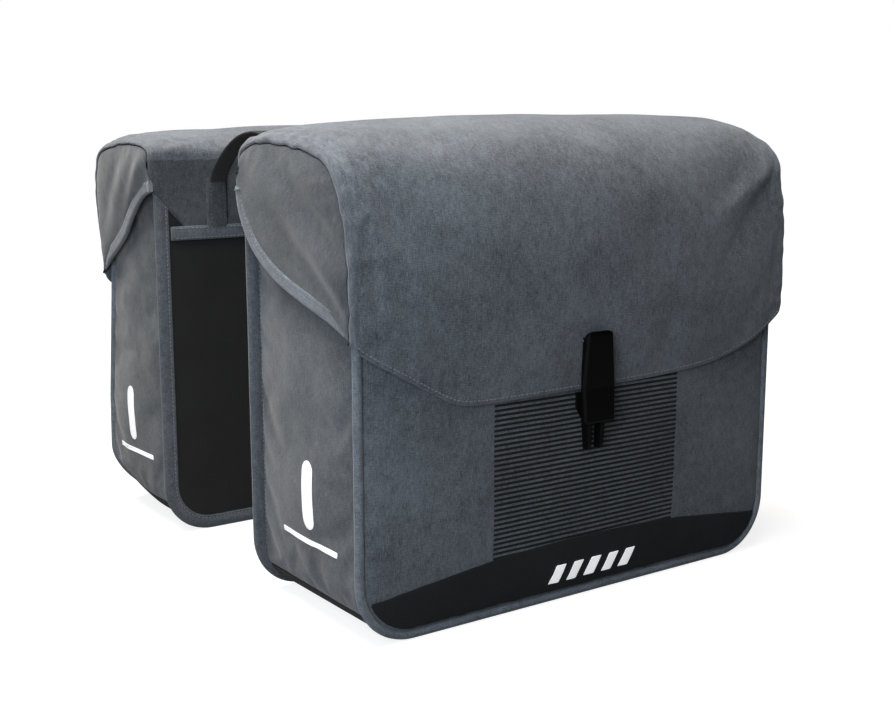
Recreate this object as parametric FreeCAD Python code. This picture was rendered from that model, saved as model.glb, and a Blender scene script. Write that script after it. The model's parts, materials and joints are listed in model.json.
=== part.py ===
import FreeCAD, Part
import math
import os

from FreeCAD import Vector

# A double pannier: two lidded bags joined by two webbing straps that lie over a rack. Millimetres.
# X is forward along the bicycle, Y is left, Z is up. The origin is on the ground, midway between the bags.
# Every piece is drawn for the right bag, at negative Y, and mirrored in the XZ plane for the left bag.
# "depth" is measured outward from the bag's back face, which faces the rack.

# Driving dimensions
half_gap = 80.0
bag_depth = 148.0
mouth_top = 300.0
fabric = 1.5
binding_half_width = 196.0
corner_radius = 42.0
binding_tape = 12.0
binding_depth = 5.0

# Gusset, which is the strip of fabric that joins the back panel to the front panel
gusset_back_half_width = 186.0
gusset_front_half_width = 191.0
gusset_bottom = 3.5
gusset_back_radius = 29.0
gusset_front_radius = 38.0
gusset_start = 2.6
gusset_flange_end = 4.0
gusset_end = 141.0
bottom_seam_height = 14.0
flange_half_width = 194.4
flange_bottom = 1.6
flange_radius = 40.4

# Boards and hem inside the bag
board_fit = 0.6
back_board_half_width = 181.0
back_board_bottom = 16.0
back_board_top = 276.0
back_board_radius = 30.0
back_board_thickness = 2.0
bottom_board_half_width = 150.0
bottom_board_start = 8.0
bottom_board_end = 136.0
bottom_board_thickness = 3.0
bottom_board_radius = 12.0
hem_thickness = 1.2
hem_bottom = 281.0
hem_top = 299.0

# Front
piping_radius = 3.5
piping_half_width = 190.5
piping_center_radius = 41.0
front_panel_back = 145.0
front_half_width = 186.5
front_bottom = 7.5
front_corner_radius = 37.0
band_thickness = 1.0
band_height_middle = 48.0
band_height_end = 31.5

# Lid, measured at its outer face
lid_fold = 317.0
lid_crown = 350.0
lid_face = 155.0
lid_rear = -1.6
lid_half_width = 199.5
lid_front_edge = 159.0
lid_corner_edge = 208.0
lid_end_drop = 0.49

# Rear flap, hem tape and straps
flap_thickness = 1.4
flap_gap = 0.2
hem_tape_bottom = 251.0
hem_tape_top = 263.0
hem_tape_half_width = 184.0
strap_width = 15.0
strap_thickness = 2.0
strap_spacing = 142.0
strap_exit_height = 302.0
strap_apex = 340.0
strap_drop = 38.0
strap_reach = 79.0
strap_bend = 43.0
strap_bend_gap = 1.0

# Buckle
lever_top = 201.5
lever_bottom = 134.5
lever_back = 160.0
lever_face = 163.5
pivot_depth = 157.4
pivot_height = 195.0
pin_radius = 1.0
pin_fit = 0.02
pin_running_clearance = 0.06
cheek_radius = 2.2
cheek_inner = 10.1
cheek_outer = 12.3
base_thickness = 1.6
rivet_radius = 2.0
rivet_head_radius = 3.4
rivet_heights = (171.0, 184.0)
cheek_back = 156.2
cheek_bottom = 142.0
nose_half_width = 2.7
nose_tip = 152.5
nose_bottom = 142.5
nose_top = 145.5
lug_radius = 2.0
lug_width = 3.0
base_half_width = 9.6
base_bottom = 164.0
base_top = 199.0
rivet_head_height = 1.2
catch_bar_thickness = 7.4
catch_leg_thickness = 11.2
catch_leg_back = 4.0
catch_gap_half_width = 4.0
catch_foot = 114.5
catch_rivet_offset = 9.2
catch_rivet_height = 151.5
catch_bar_bottom = 149.0
catch_bar_top = 157.0

up = Vector(0, 0, 1)
outward = Vector(0, -1, 0)
along = Vector(1, 0, 0)


def at(x, depth, z):
    """A point of the right bag."""
    return Vector(x, -(half_gap + depth), z)


def line(a, b):
    return Part.LineSegment(a, b).toShape()


def arc(a, b, c):
    return Part.Arc(a, b, c).toShape()


def curve(points, **tangents):
    """A smooth curve through the points, with its end directions where they are given."""
    spline = Part.BSplineCurve()
    spline.interpolate(points, **tangents)
    return spline.toShape()


def fill(edges, travel):
    """A flat outline of edges, extruded along the vector."""
    return Part.Face(Part.Wire(edges)).extrude(travel)


def prism(points, travel):
    """A polygon, extruded along the vector."""
    return fill(Part.makePolygon(points + points[:1]).Edges, travel)


def block(x0, x1, depth0, depth1, z0, z1):
    size = (x1 - x0, depth1 - depth0, z1 - z0)
    return Part.makeBox(*size, at(x0, depth1, z0))


def rod(radius, x, depth0, depth1, z):
    """A cylinder along the depth."""
    return Part.makeCylinder(radius, depth1 - depth0, at(x, depth0, z), outward)


def cross_rod(radius, x0, x1, depth, z):
    """A cylinder along X."""
    return Part.makeCylinder(radius, x1 - x0, at(x0, depth, z), along)


def tub_edges(half_width, bottom, top, radius, depth):
    """The upright sides, round lower corners and bottom of a tub outline, open at the top."""
    cut = radius * (1 - math.sqrt(0.5))
    inner = half_width - radius
    rise = bottom + radius
    corner = half_width - cut
    ends = [
        at(-half_width, depth, top),
        at(-half_width, depth, rise),
        at(-inner, depth, bottom),
        at(inner, depth, bottom),
        at(half_width, depth, rise),
        at(half_width, depth, top),
    ]
    return [
        line(ends[0], ends[1]),
        arc(ends[1], at(-corner, depth, bottom + cut), ends[2]),
        line(ends[2], ends[3]),
        arc(ends[3], at(corner, depth, bottom + cut), ends[4]),
        line(ends[4], ends[5]),
    ]


def tub_loop(half_width, bottom, top, radius, depth):
    close = line(at(half_width, depth, top), at(-half_width, depth, top))
    return Part.Wire(tub_edges(half_width, bottom, top, radius, depth) + [close])


def tub_plate(half_width, bottom, top, radius, depth0, depth1):
    """A flat plate with round lower corners."""
    wire = tub_loop(half_width, bottom, top, radius, depth0)
    return Part.Face(wire).extrude(outward * (depth1 - depth0))


def offset_points(points, distance):
    """The points moved sideways in the YZ plane: up where they travel towards +Y, down towards -Y."""
    moved = []
    for i, point in enumerate(points):
        before = points[max(i - 1, 0)]
        after = points[min(i + 1, len(points) - 1)]
        travel = (after - before).normalize()
        side = Vector(0, -travel.z, travel.y)
        moved.append(point + side * distance)
    return moved


# Bag body


def back_panel():
    return tub_plate(flange_half_width, flange_bottom, mouth_top, flange_radius, 1.0, 2.5)


def back_binding():
    """A folded tape with a slot that holds the edges of the back panel and the gusset."""
    top = mouth_top - 2
    inner_width = binding_half_width - binding_tape
    inner_radius = corner_radius - binding_tape
    tape = tub_plate(binding_half_width, 0, top, corner_radius, 0, binding_depth)
    opening = tub_plate(inner_width, binding_tape, top + 1, inner_radius, -1, 2.5)
    gusset_half = gusset_back_half_width + 0.4
    gusset_low = gusset_bottom - 0.4
    gusset_opening = tub_plate(gusset_half, gusset_low, top + 1, gusset_back_radius, 2.5, binding_depth + 1)
    slot = tub_plate(flange_half_width + 0.1, flange_bottom - 0.1, top + 1, flange_radius, 0.9, 4.2)
    return tape.cut(opening).cut(gusset_opening).cut(slot)


def back_board():
    start = gusset_flange_end + board_fit
    end = start + back_board_thickness
    return tub_plate(back_board_half_width, back_board_bottom, back_board_top, back_board_radius, start, end)


def gusset_loft(inset):
    """The solid inside the gusset's wall, moved in from its outer face."""
    back = tub_loop(gusset_back_half_width - inset, gusset_bottom + inset, mouth_top,
                    gusset_back_radius - inset, gusset_start)
    front = tub_loop(gusset_front_half_width - inset, gusset_bottom + inset, mouth_top,
                     gusset_front_radius - inset, gusset_end)
    return Part.makeLoft([back, front], True, True)


def gusset():
    """The tapered strip around the bag with its flange, which the binding holds."""
    inside = gusset_loft(fabric)
    flange = tub_plate(flange_half_width, flange_bottom, mouth_top, flange_radius,
                       gusset_start, gusset_flange_end)
    opening = tub_plate(gusset_back_half_width - 1, gusset_bottom + 1, mouth_top,
                        gusset_back_radius - 1, gusset_start - 0.5, gusset_flange_end + 1)
    wall = gusset_loft(0).cut(inside)
    return wall.fuse(flange.cut(opening).cut(inside)).removeSplitter()


def side_panel(side):
    """One end panel of the gusset, above the seam with the bottom panel."""
    keep = block(0, 220, -10, 160, bottom_seam_height, mouth_top + 1)
    if side < 0:
        keep = keep.mirror(Vector(0, 0, 0), along)
    return gusset().common(keep)


def bottom_panel():
    return gusset().common(block(-220, 220, -10, 160, -5, bottom_seam_height))


def bottom_board():
    reach = bottom_board_half_width
    low = gusset_bottom + fabric + board_fit
    board = block(-reach, reach, bottom_board_start, bottom_board_end, low, low + bottom_board_thickness)
    upright = [edge for edge in board.Edges if abs(edge.tangentAt(0).z) > 0.9]
    return board.makeFillet(bottom_board_radius, upright)


def front_panel():
    panel = tub_plate(front_half_width, front_bottom, mouth_top, front_corner_radius,
                      front_panel_back, bag_depth)
    for x in (-catch_rivet_offset, catch_rivet_offset):
        panel = panel.cut(rod(rivet_radius, x, front_panel_back - 1, bag_depth + 1, catch_rivet_height))
    return panel


def front_piping():
    edges = tub_edges(piping_half_width, piping_radius, mouth_top - 2, piping_center_radius,
                      front_panel_back - 0.5)
    start = at(-piping_half_width, front_panel_back - 0.5, mouth_top - 2)
    ring = Part.Wire(Part.makeCircle(piping_radius, start, up))
    return Part.Wire(edges).makePipeShell([ring], True, True)


def lower_band():
    """The reinforcement on the foot of the front, with an arched upper edge."""
    depth = bag_depth
    plate = tub_plate(front_half_width, front_bottom, 2 * band_height_middle, front_corner_radius,
                      depth, depth + band_thickness)
    arch = arc(
        at(-front_half_width, depth, band_height_end),
        at(0, depth, band_height_middle),
        at(front_half_width, depth, band_height_end),
    )
    low = [at(front_half_width, depth, 0), at(-front_half_width, depth, 0)]
    sides = [
        line(at(front_half_width, depth, band_height_end), low[0]),
        line(low[0], low[1]),
        line(low[1], at(-front_half_width, depth, band_height_end)),
    ]
    return plate.common(fill([arch] + sides, outward * band_thickness))


def hem_ring(inset, bottom, top):
    """A prism that follows the walls of the mouth from inside."""
    corners = [(184.2 - inset, 7.0 + inset), (189.0 - inset, 140.5), (185.8 - inset, 144.7 - inset)]
    points = [at(x, depth, bottom) for x, depth in corners]
    points += [at(-x, depth, bottom) for x, depth in reversed(corners)]
    return prism(points, up * (top - bottom))


def mouth_hem():
    return hem_ring(0, hem_bottom, hem_top).cut(hem_ring(hem_thickness, hem_bottom - 1, hem_top + 1))


def lid_rear_flap():
    """The foot of the lid's sheet, sewn to the outside of the back panel."""
    depth = -flap_gap
    outline = [
        at(-171, depth, hem_tape_bottom + 1),
        at(171, depth, hem_tape_bottom + 1),
        at(192, depth, 289),
        at(192, depth, lid_fold - 2.5),
        at(-192, depth, lid_fold - 2.5),
        at(-192, depth, 289),
    ]
    return prism(outline, outward * -flap_thickness)


def hem_tape():
    depth = -(flap_gap + flap_thickness)
    return block(-hem_tape_half_width, hem_tape_half_width, depth - 0.8, depth, hem_tape_bottom, hem_tape_top)


def arch_point(y):
    """A point on the middle line of the straps' arch over the rack."""
    return Vector(0, y, strap_apex - strap_drop * (y / strap_reach) ** 2)


def arch_direction(y):
    return Vector(0, 1, -2 * strap_drop * y / strap_reach ** 2)


def strap_pair(middle, start, end):
    """Both straps, along a middle line that travels towards +Y with the directions start and end."""
    half = strap_thickness / 2
    upper = offset_points(middle, half)
    lower = offset_points(middle, -half)
    edges = [
        curve(upper, InitialTangent=start, FinalTangent=end),
        line(upper[-1], lower[-1]),
        curve(lower, InitialTangent=start, FinalTangent=end),
        line(lower[0], upper[0]),
    ]
    straps = []
    for x in (-strap_spacing, strap_spacing):
        strap = fill(edges, along * strap_width)
        strap.translate(along * (x - strap_width / 2))
        straps.append(strap)
    return straps


def strap_ends():
    """The straps' ends, from where they are sewn to the flap up to where they bend at the rack's edge."""
    sewn = -(flap_gap + flap_thickness + strap_thickness / 2)
    foot = strap_exit_height - 10
    bend = -(strap_bend + strap_bend_gap)
    middle = [at(0, sewn, foot), at(0, sewn - 1.8, strap_exit_height)]
    middle += [arch_point(y) for y in (-68, -56, bend)]
    ends = []
    for x, curved in zip((-strap_spacing, strap_spacing), strap_pair(middle, up, arch_direction(bend))):
        reach = strap_width / 2
        half = strap_thickness / 2
        straight = block(x - reach, x + reach, sewn - half, sewn + half, hem_tape_top + 1, foot)
        ends.append(curved.fuse(straight).removeSplitter())
    return Part.makeCompound(ends)


def wall_film(points, side):
    """A polygon of (depth, height) points as a thin film on the outside of an end panel."""
    slope = (gusset_front_half_width - gusset_back_half_width) / (gusset_end - gusset_start)

    def on_wall(depth, height):
        return at(side * (gusset_back_half_width + slope * (depth - gusset_start)), depth, height)

    return prism([on_wall(*p) for p in points], along * side * 0.4)


def side_reflectors():
    """On each end panel, an upright strip over a thin bar."""
    films = []
    for side in (-1, 1):
        strip = [(77, 74), (81, 70), (87, 70), (91, 74), (91, 115), (87, 119), (81, 119), (77, 115)]
        bar = [(42, 58.5), (120, 58.5), (120, 62.5), (42, 62.5)]
        films += [wall_film(strip, side), wall_film(bar, side)]
    return Part.makeCompound(films)


def band_reflectors():
    """A row of slanted bars on the lower band."""
    depth = bag_depth + band_thickness
    bars = []
    for i in range(5):
        x = -34 + 17 * i
        corners = [(x, 15), (x + 9, 15), (x + 15, 29), (x + 6, 29)]
        bars.append(prism([at(u, depth, z) for u, z in corners], outward * 0.4))
    return Part.makeCompound(bars)


# Lid


def lid_scale(x):
    """How full the lid's top is at x, from 1 in the middle to less at its ends."""
    reach = abs(x) / lid_half_width
    return 1 - 0.06 * reach ** 2 - (lid_end_drop - 0.06) * reach ** 10


def lid_curve(x, inset):
    """The top of the lid's section at x, from the rear fold to the front face, as points."""
    rise = (lid_crown - lid_fold) * lid_scale(x)
    profile = [
        (lid_rear, 0.0),
        (3, 0.32),
        (14, 0.66),
        (40, 0.92),
        (78, 1.0),
        (112, 0.89),
        (133, 0.57),
        (147, 0.0),
    ]
    points = [at(x, depth, lid_fold + rise * share) for depth, share in profile]
    points.append(at(x, lid_face, lid_fold - 24))
    return offset_points(points, inset)


def lid_section(x, inset, thickness, foot):
    """The closed outline of a sheet inside the lid's outer face. foot is its lower edge at the front."""
    outer = lid_curve(x, inset)
    inner = lid_curve(x, inset + thickness)
    outer_foot = Vector(x, outer[-1].y, foot)
    inner_foot = Vector(x, inner[-1].y, foot)
    edges = [
        curve(outer),
        line(outer[-1], outer_foot),
        line(outer_foot, inner_foot),
        line(inner_foot, inner[-1]),
        curve(list(reversed(inner))),
        line(inner[0], outer[0]),
    ]
    return Part.Wire(edges)


def lid_sheet(half_width, inset, thickness, foot):
    stations = [-1, -0.97, -0.9, -0.75, -0.45, 0, 0.45, 0.75, 0.9, 0.97, 1]
    sections = [lid_section(half_width * s, inset, thickness, foot) for s in stations]
    return Part.makeLoft(sections, True, False)


def below_front_edge():
    """Everything under the lid's front edge, which rises towards both ends."""
    depth = lid_face + 5
    right = [(88, lid_front_edge), (131, 167), (160, 179.5), (202, lid_corner_edge)]
    points = [at(x, depth, z) for x, z in right]
    mirrored = [at(-x, depth, z) for x, z in reversed(right)]
    edges = [
        curve(mirrored, FinalTangent=along, InitialTangent=Vector(1, 0, -0.8)),
        line(mirrored[-1], points[0]),
        curve(points, InitialTangent=along, FinalTangent=Vector(1, 0, 0.8)),
        line(points[-1], at(202, depth, 100)),
        line(at(202, depth, 100), at(-202, depth, 100)),
        line(at(-202, depth, 100), mirrored[0]),
    ]
    return fill(edges, outward * -20)


def lid_panel():
    sheet = lid_sheet(lid_half_width - fabric - 0.1, 0, fabric, 150.0)
    sheet = sheet.cut(below_front_edge())
    for z in rivet_heights:
        sheet = sheet.cut(rod(rivet_radius, 0, lid_face - 5, lid_face + 5, z))
    return sheet


def lid_foam():
    """Padding under the lid's top."""
    foam = lid_sheet(183.0, fabric + 0.4, 4.0, 250.0)
    return foam.common(block(-190, 190, 10, 138, lid_fold + 4, 400))


def wing_edge(x):
    """The lower edge of a wing, from its front corner to its rear corner."""
    corners = [(lid_face, lid_corner_edge), (128, 219), (102, 227), (61, 239), (26, 255), (7, 276),
               (-1, 298)]
    return [at(x, depth, z) for depth, z in corners]


def wing_outline(x):
    top = lid_curve(math.copysign(lid_half_width, x), 0)
    for point in top:
        point.x = x
    low = wing_edge(x)
    return [curve(top), line(top[-1], low[0]), curve(low), line(low[-1], top[0])]


def lid_wing(side):
    x = side * (lid_half_width - fabric)
    return fill(wing_outline(x), along * side * fabric)


def wing_binding():
    """A folded tape over the lower edge of each wing."""
    tapes = []
    for side in (-1, 1):
        x = side * (lid_half_width - fabric - 0.8)
        low = offset_points(wing_edge(x), -0.6)
        high = offset_points(wing_edge(x), 9.0)
        edges = [curve(low), line(low[-1], high[-1]), curve(list(reversed(high))), line(high[0], low[0])]
        tape = fill(edges, along * side * (fabric + 1.6))
        slot_x = side * (lid_half_width - fabric - 0.05)
        slot = fill(wing_outline(slot_x), along * side * (fabric + 0.1))
        behind_front = block(-220, 220, -20, lid_face - fabric - 0.2, 150, 400)
        tapes.append(tape.cut(slot).common(behind_front))
    return Part.makeCompound(tapes)


# Buckle


def buckle_base():
    """A plate on the lid with two lugs for the pin."""
    reach = base_half_width
    plate = block(-reach, reach, lid_face, lid_face + base_thickness, base_bottom, base_top)
    low = pivot_height - lug_radius
    high = pivot_height + lug_radius
    for x in (-reach, reach - lug_width):
        lug = block(x, x + lug_width, lid_face, pivot_depth, low, high)
        plate = plate.fuse(lug.fuse(cross_rod(lug_radius, x, x + lug_width, pivot_depth, pivot_height)))
    plate = plate.cut(cross_rod(pin_radius + pin_fit, -20, 20, pivot_depth, pivot_height))
    for z in rivet_heights:
        plate = plate.cut(rod(rivet_radius, 0, lid_face - 5, lid_face + 5, z))
    return plate.removeSplitter()


def buckle_rivets():
    rivets = []
    inner = lid_face - fabric
    outer = lid_face + base_thickness
    for z in rivet_heights:
        rivet = rod(rivet_radius, 0, inner - 1, outer + 1, z)
        rivet = rivet.fuse(rod(rivet_head_radius, 0, inner - rivet_head_height, inner, z))
        rivet = rivet.fuse(rod(rivet_head_radius, 0, outer, outer + rivet_head_height, z))
        rivets.append(rivet.removeSplitter())
    return Part.makeCompound(rivets)


def buckle_pin():
    return cross_rod(pin_radius, -cheek_outer, cheek_outer, pivot_depth, pivot_height)


def lever_outline():
    """The front view of the plate, widest a little below the middle, with round corners."""
    right = [(9.5, lever_top), (12.3, lever_top - 3), (15.2, 163), (14.6, lever_bottom + 3),
             (12.4, lever_bottom)]
    points = [at(x, 150, z) for x, z in right]
    points += [at(-x, 150, z) for x, z in reversed(right)]
    return prism(points, outward * 25)


def in_front(edge):
    return edge.BoundBox.YMax < -(half_gap + lever_back + 0.5)


def edge_at_end(edge):
    middle = (edge.BoundBox.ZMin + edge.BoundBox.ZMax) / 2
    return middle < lever_bottom + 4 or middle > lever_top - 4


def buckle_lever():
    """A plate with two cheeks that turn on the pin, and a nose that hooks under the catch."""
    side_view = [
        (lever_back, lever_top - 2),
        (lever_back + 1.2, lever_top),
        (lever_face - 1.0, lever_top),
        (lever_face, lever_top - 3),
        (lever_face - 0.6, 160),
        (lever_face + 1.0, lever_bottom + 2),
        (lever_face - 0.6, lever_bottom),
        (lever_back, lever_bottom),
    ]
    plate = prism([at(-18, depth, z) for depth, z in side_view], along * 36).common(lever_outline())
    front = [e for e in plate.Edges if in_front(e)]
    sides = [e for e in front if abs(e.tangentAt(0).x) < 0.3 and abs(e.BoundBox.XMin) > 9]
    plate = plate.makeChamfer(1.7, sides)
    front = [e for e in plate.Edges if in_front(e)]
    ends = [e for e in front if abs(e.tangentAt(0).x) > 0.7 and edge_at_end(e)]
    plate = plate.makeFillet(0.7, ends)
    inside = lever_back + 0.5
    width = cheek_outer - cheek_inner
    shell = block(-20, 20, nose_tip - 5, inside, cheek_bottom, lever_top)
    for x in (-cheek_outer, cheek_inner):
        cheek = block(x, x + width, cheek_back, inside, cheek_bottom, pivot_height)
        cheek = cheek.fuse(cross_rod(cheek_radius, x, x + width, pivot_depth, pivot_height))
        plate = plate.fuse(cheek.common(shell))
    nose = block(-nose_half_width, nose_half_width, nose_tip, inside, nose_bottom, nose_top)
    hole = cross_rod(pin_radius + pin_running_clearance, -20, 20, pivot_depth, pivot_height)
    return plate.fuse(nose).cut(hole).removeSplitter()


def catch():
    """A wide bar on the front panel, which the lever's nose hooks under, with two legs below it."""
    foot = catch_foot
    back = bag_depth + 0.02
    outline = [(6.8, foot), (8.8, 137), (14.5, 146), (14.5, catch_bar_top)]
    points = [at(x, back, z) for x, z in outline]
    points += [at(-x, back, z) for x, z in reversed(outline)]
    bar_face = back + catch_bar_thickness
    leg_face = back + catch_leg_thickness
    leg_back = back + catch_leg_back
    side_view = [
        (back, foot),
        (leg_face - 1, foot),
        (leg_face, foot + 3),
        (leg_face, 138.5),
        (bar_face, 141.5),
        (bar_face, catch_bar_top),
        (back, catch_bar_top),
        (back, 141),
        (leg_back, 137),
        (leg_back, foot + 5),
        (back, foot + 4),
    ]
    loop = prism(points, outward * 20)
    loop = loop.common(prism([at(-18, depth, z) for depth, z in side_view], along * 36))
    half = catch_gap_half_width
    loop = loop.cut(block(-half, half, back - 1, leg_face + 1, foot - 1, catch_bar_bottom))
    for x in (-catch_rivet_offset, catch_rivet_offset):
        loop = loop.cut(rod(rivet_radius, x, bag_depth - 1, bag_depth + 1.5, catch_rivet_height))
    return loop.removeSplitter()


def catch_rivets():
    """The two rivets that hold the catch's bar from inside the bag."""
    z = catch_rivet_height
    inner = front_panel_back
    rivets = []
    for x in (-catch_rivet_offset, catch_rivet_offset):
        shaft = rod(rivet_radius, x, inner - 0.5, bag_depth + 1.5, z)
        rivet = shaft.fuse(rod(rivet_head_radius, x, inner - rivet_head_height, inner, z))
        rivets.append(rivet.removeSplitter())
    return Part.makeCompound(rivets)


# Bridge between the bags


def bridge_straps():
    """The middle of the two webbing straps that arch over the rack."""
    end = strap_bend - strap_bend_gap
    middle = [arch_point(end * k / 3) for k in range(-3, 4)]
    return Part.makeCompound(strap_pair(middle, arch_direction(-end), arch_direction(end)))


bag_pieces = {
    "back_panel": back_panel,
    "back_binding": back_binding,
    "back_board": back_board,
    "fore_side_panel": lambda: side_panel(1),
    "aft_side_panel": lambda: side_panel(-1),
    "bottom_panel": bottom_panel,
    "bottom_board": bottom_board,
    "front_panel": front_panel,
    "front_piping": front_piping,
    "lower_band": lower_band,
    "mouth_hem": mouth_hem,
    "lid_rear_flap": lid_rear_flap,
    "hem_tape": hem_tape,
    "strap_ends": strap_ends,
    "side_reflectors": side_reflectors,
    "band_reflectors": band_reflectors,
    "catch": catch,
    "catch_rivets": catch_rivets,
    "lid_panel": lid_panel,
    "fore_lid_wing": lambda: lid_wing(1),
    "aft_lid_wing": lambda: lid_wing(-1),
    "wing_binding": wing_binding,
    "lid_foam": lid_foam,
    "buckle_base": buckle_base,
    "buckle_rivets": buckle_rivets,
    "buckle_pin": buckle_pin,
    "buckle_lever": buckle_lever,
}

os.makedirs("parts", exist_ok=True)
bridge_straps().exportStep("parts/bridge_straps.step")
for name, make in bag_pieces.items():
    piece = make()
    piece.exportStep(f"parts/right_{name}.step")
    piece.mirror(Vector(0, 0, 0), Vector(0, 1, 0)).exportStep(f"parts/left_{name}.step")
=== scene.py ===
import json
import math

import bmesh
import bpy
import numpy as np
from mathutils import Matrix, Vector, noise
from mathutils.bvhtree import BVHTree


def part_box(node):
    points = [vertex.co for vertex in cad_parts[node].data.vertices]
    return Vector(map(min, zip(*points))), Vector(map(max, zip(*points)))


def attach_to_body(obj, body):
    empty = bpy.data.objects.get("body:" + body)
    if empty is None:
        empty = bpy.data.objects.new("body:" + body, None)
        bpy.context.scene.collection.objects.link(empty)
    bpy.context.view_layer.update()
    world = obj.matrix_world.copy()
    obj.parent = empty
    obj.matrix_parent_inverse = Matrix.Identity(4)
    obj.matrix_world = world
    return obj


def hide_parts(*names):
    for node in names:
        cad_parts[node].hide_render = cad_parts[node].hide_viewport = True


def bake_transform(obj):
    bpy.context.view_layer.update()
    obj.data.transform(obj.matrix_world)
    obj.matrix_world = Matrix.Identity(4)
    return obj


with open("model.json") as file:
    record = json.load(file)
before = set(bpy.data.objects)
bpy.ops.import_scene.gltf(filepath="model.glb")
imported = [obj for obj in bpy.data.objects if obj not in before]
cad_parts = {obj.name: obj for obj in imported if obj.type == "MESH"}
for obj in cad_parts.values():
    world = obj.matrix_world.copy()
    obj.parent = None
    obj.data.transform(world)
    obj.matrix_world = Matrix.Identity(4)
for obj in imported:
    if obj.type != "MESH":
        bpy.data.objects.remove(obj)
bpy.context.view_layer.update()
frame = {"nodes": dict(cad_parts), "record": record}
nodes = frame["nodes"]
scene = bpy.context.scene

# Shapes are drawn for one bag in millimetres, as (x, depth, z). Depth is measured outward from its back face.
# place() turns them into metres in the frame, for the bag on the right (side -1) or on the left (side +1).
MM = 0.001
SLACK = 1.01
SIDES = (("right", -1), ("left", 1))


def cad(node):
    """A right-bag node's box as ((x0, depth0, z0), (x1, depth1, z1)) in millimetres."""
    low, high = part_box(node)
    return (low.x / MM, -high.y / MM - GAP, low.z / MM), (high.x / MM, -low.y / MM - GAP, high.z / MM)


GAP = -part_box("right_back_binding")[1].y / MM
BINDING_HIGH = cad("right_back_binding")[1]
PIPING_LOW, PIPING_HIGH = cad("right_front_piping")
PANEL_HIGH = cad("right_front_panel")[1]
LID_HIGH = cad("right_lid_panel")[1]
WING_HIGH = cad("right_fore_lid_wing")[1]
TAPE_LOW, TAPE_HIGH = cad("right_hem_tape")

BINDING_HALF = BINDING_HIGH[0]
BINDING_RADIUS = 42.0
MOUTH_TOP = PANEL_HIGH[2]
PIPING_RADIUS = (PIPING_HIGH[1] - PIPING_LOW[1]) / 2
PIPING_HALF = PIPING_HIGH[0] - PIPING_RADIUS
PIPING_DEPTH = PIPING_HIGH[1] - PIPING_RADIUS
PIPING_CORNER = 41.0
FRONT_FACE = PANEL_HIGH[1]
LID_FACE = LID_HIGH[1]
LID_END = WING_HIGH[0]
FOLD = frame["record"]["behaviour"]["joints"][1]["pos_m"][2] / MM + 1
LID_ROLL = 3.6
HEM = 14.0
FRONT_HALF = PIPING_HALF - PIPING_RADIUS + 0.6
FRONT_BOTTOM = 6.4
FRONT_RADIUS = 37.6
BOTTOM_SEAM = 21.5
GUSSET_COLUMNS = 210
WING_COLUMNS = 72
SETTLE_FRAMES = 20


# Mesh tools


def depth_kept(x, z, side):
    """The share of its full depth that the bag keeps at x and z. The left bag has sunk in at its aft end."""
    if side < 0:
        return 1.0
    heights = [0, 60, 100, 180, 222, 250, 285, 333]
    lost = np.interp(z, heights, [0.10, 0.12, 0.135, 0.22, 0.265, 0.225, 0.15, 0.10])
    share = np.clip((-x - 60) / 140, 0, 1)
    return 1 - lost * share ** 2 * (3 - 2 * share)


def place(points, side):
    """Points in millimetres as (x, depth, z), in the frame in metres."""
    p = np.asarray(points, float)
    depth = p[..., 1] * depth_kept(p[..., 0], p[..., 2], side)
    return np.stack([p[..., 0] * SLACK, side * (GAP + depth), p[..., 2]], -1) * MM


def unplace(points, side):
    """The reverse of place()."""
    p = np.asarray(points) / MM
    x = p[:, 0] / SLACK
    return np.stack([x, (side * p[:, 1] - GAP) / depth_kept(x, p[:, 2], side), p[:, 2]], -1)


def leaned(grid):
    """Body points with the mouth drawn in a little under the lid."""
    share = np.clip((grid[..., 2] - 215) / 85, 0, 1)
    grid[..., 1] -= 9.5 * share ** 2 * grid[..., 1] / 148
    return grid


def lifted(grid, side):
    """Body points with the left bag's aft front corner pushed up and round at the bottom."""
    if side > 0:
        x, depth, z = grid[..., 0], grid[..., 1], grid[..., 2]
        share = np.clip((-x - 130) / 62, 0, 1) ** 1.5 * np.clip((depth - 60) / 88, 0, 1) ** 1.5
        grid[..., 2] = z + 24 * share * np.clip((80 - z) / 80, 0, 1)
    return grid


def resample(points, count):
    """count points at equal steps along a polyline."""
    p = np.asarray(points, float)
    steps = np.r_[0, np.cumsum(np.linalg.norm(np.diff(p, axis=0), axis=1))]
    at = np.linspace(0, steps[-1], count)
    return np.stack([np.interp(at, steps, p[:, k]) for k in range(p.shape[1])], -1)


def rounded(points, count, passes=4):
    """A polyline with its corners cut round, as count points at equal steps."""
    p = np.asarray(points, float)
    for _ in range(passes):
        early = p[:-1] * 0.75 + p[1:] * 0.25
        late = p[:-1] * 0.25 + p[1:] * 0.75
        p = np.vstack([p[:1], np.stack([early, late], 1).reshape(-1, p.shape[1]), p[-1:]])
    return resample(p, count)


def tub_path(half, bottom, radius, top, count):
    """Points (x, z) down one side, round the bottom corners and up the other side."""
    turn = np.linspace(0, math.pi / 2, 13)
    left = [(-half + radius * (1 - math.cos(a)), bottom + radius * (1 - math.sin(a))) for a in turn]
    right = [(-x, z) for x, z in reversed(left)]
    return resample([(-half, top)] + left + right + [(half, top)], count)


def tub_low(x, half, bottom, radius):
    """The height of a tub outline's lower edge at x."""
    over = np.clip(np.abs(x) - (half - radius), 0, radius)
    return bottom + radius - np.sqrt(radius ** 2 - over ** 2)


def wobble(points, size, seed):
    """Smooth random values between about -1 and 1, one for each point, that change over size millimetres."""
    flat = np.asarray(points, float).reshape(-1, 3) / size
    values = [noise.noise(Vector((x + seed * 7.3, y - seed * 3.1, z + seed))) for x, y, z in flat]
    return np.array(values).reshape(np.shape(points)[:-1])


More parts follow.
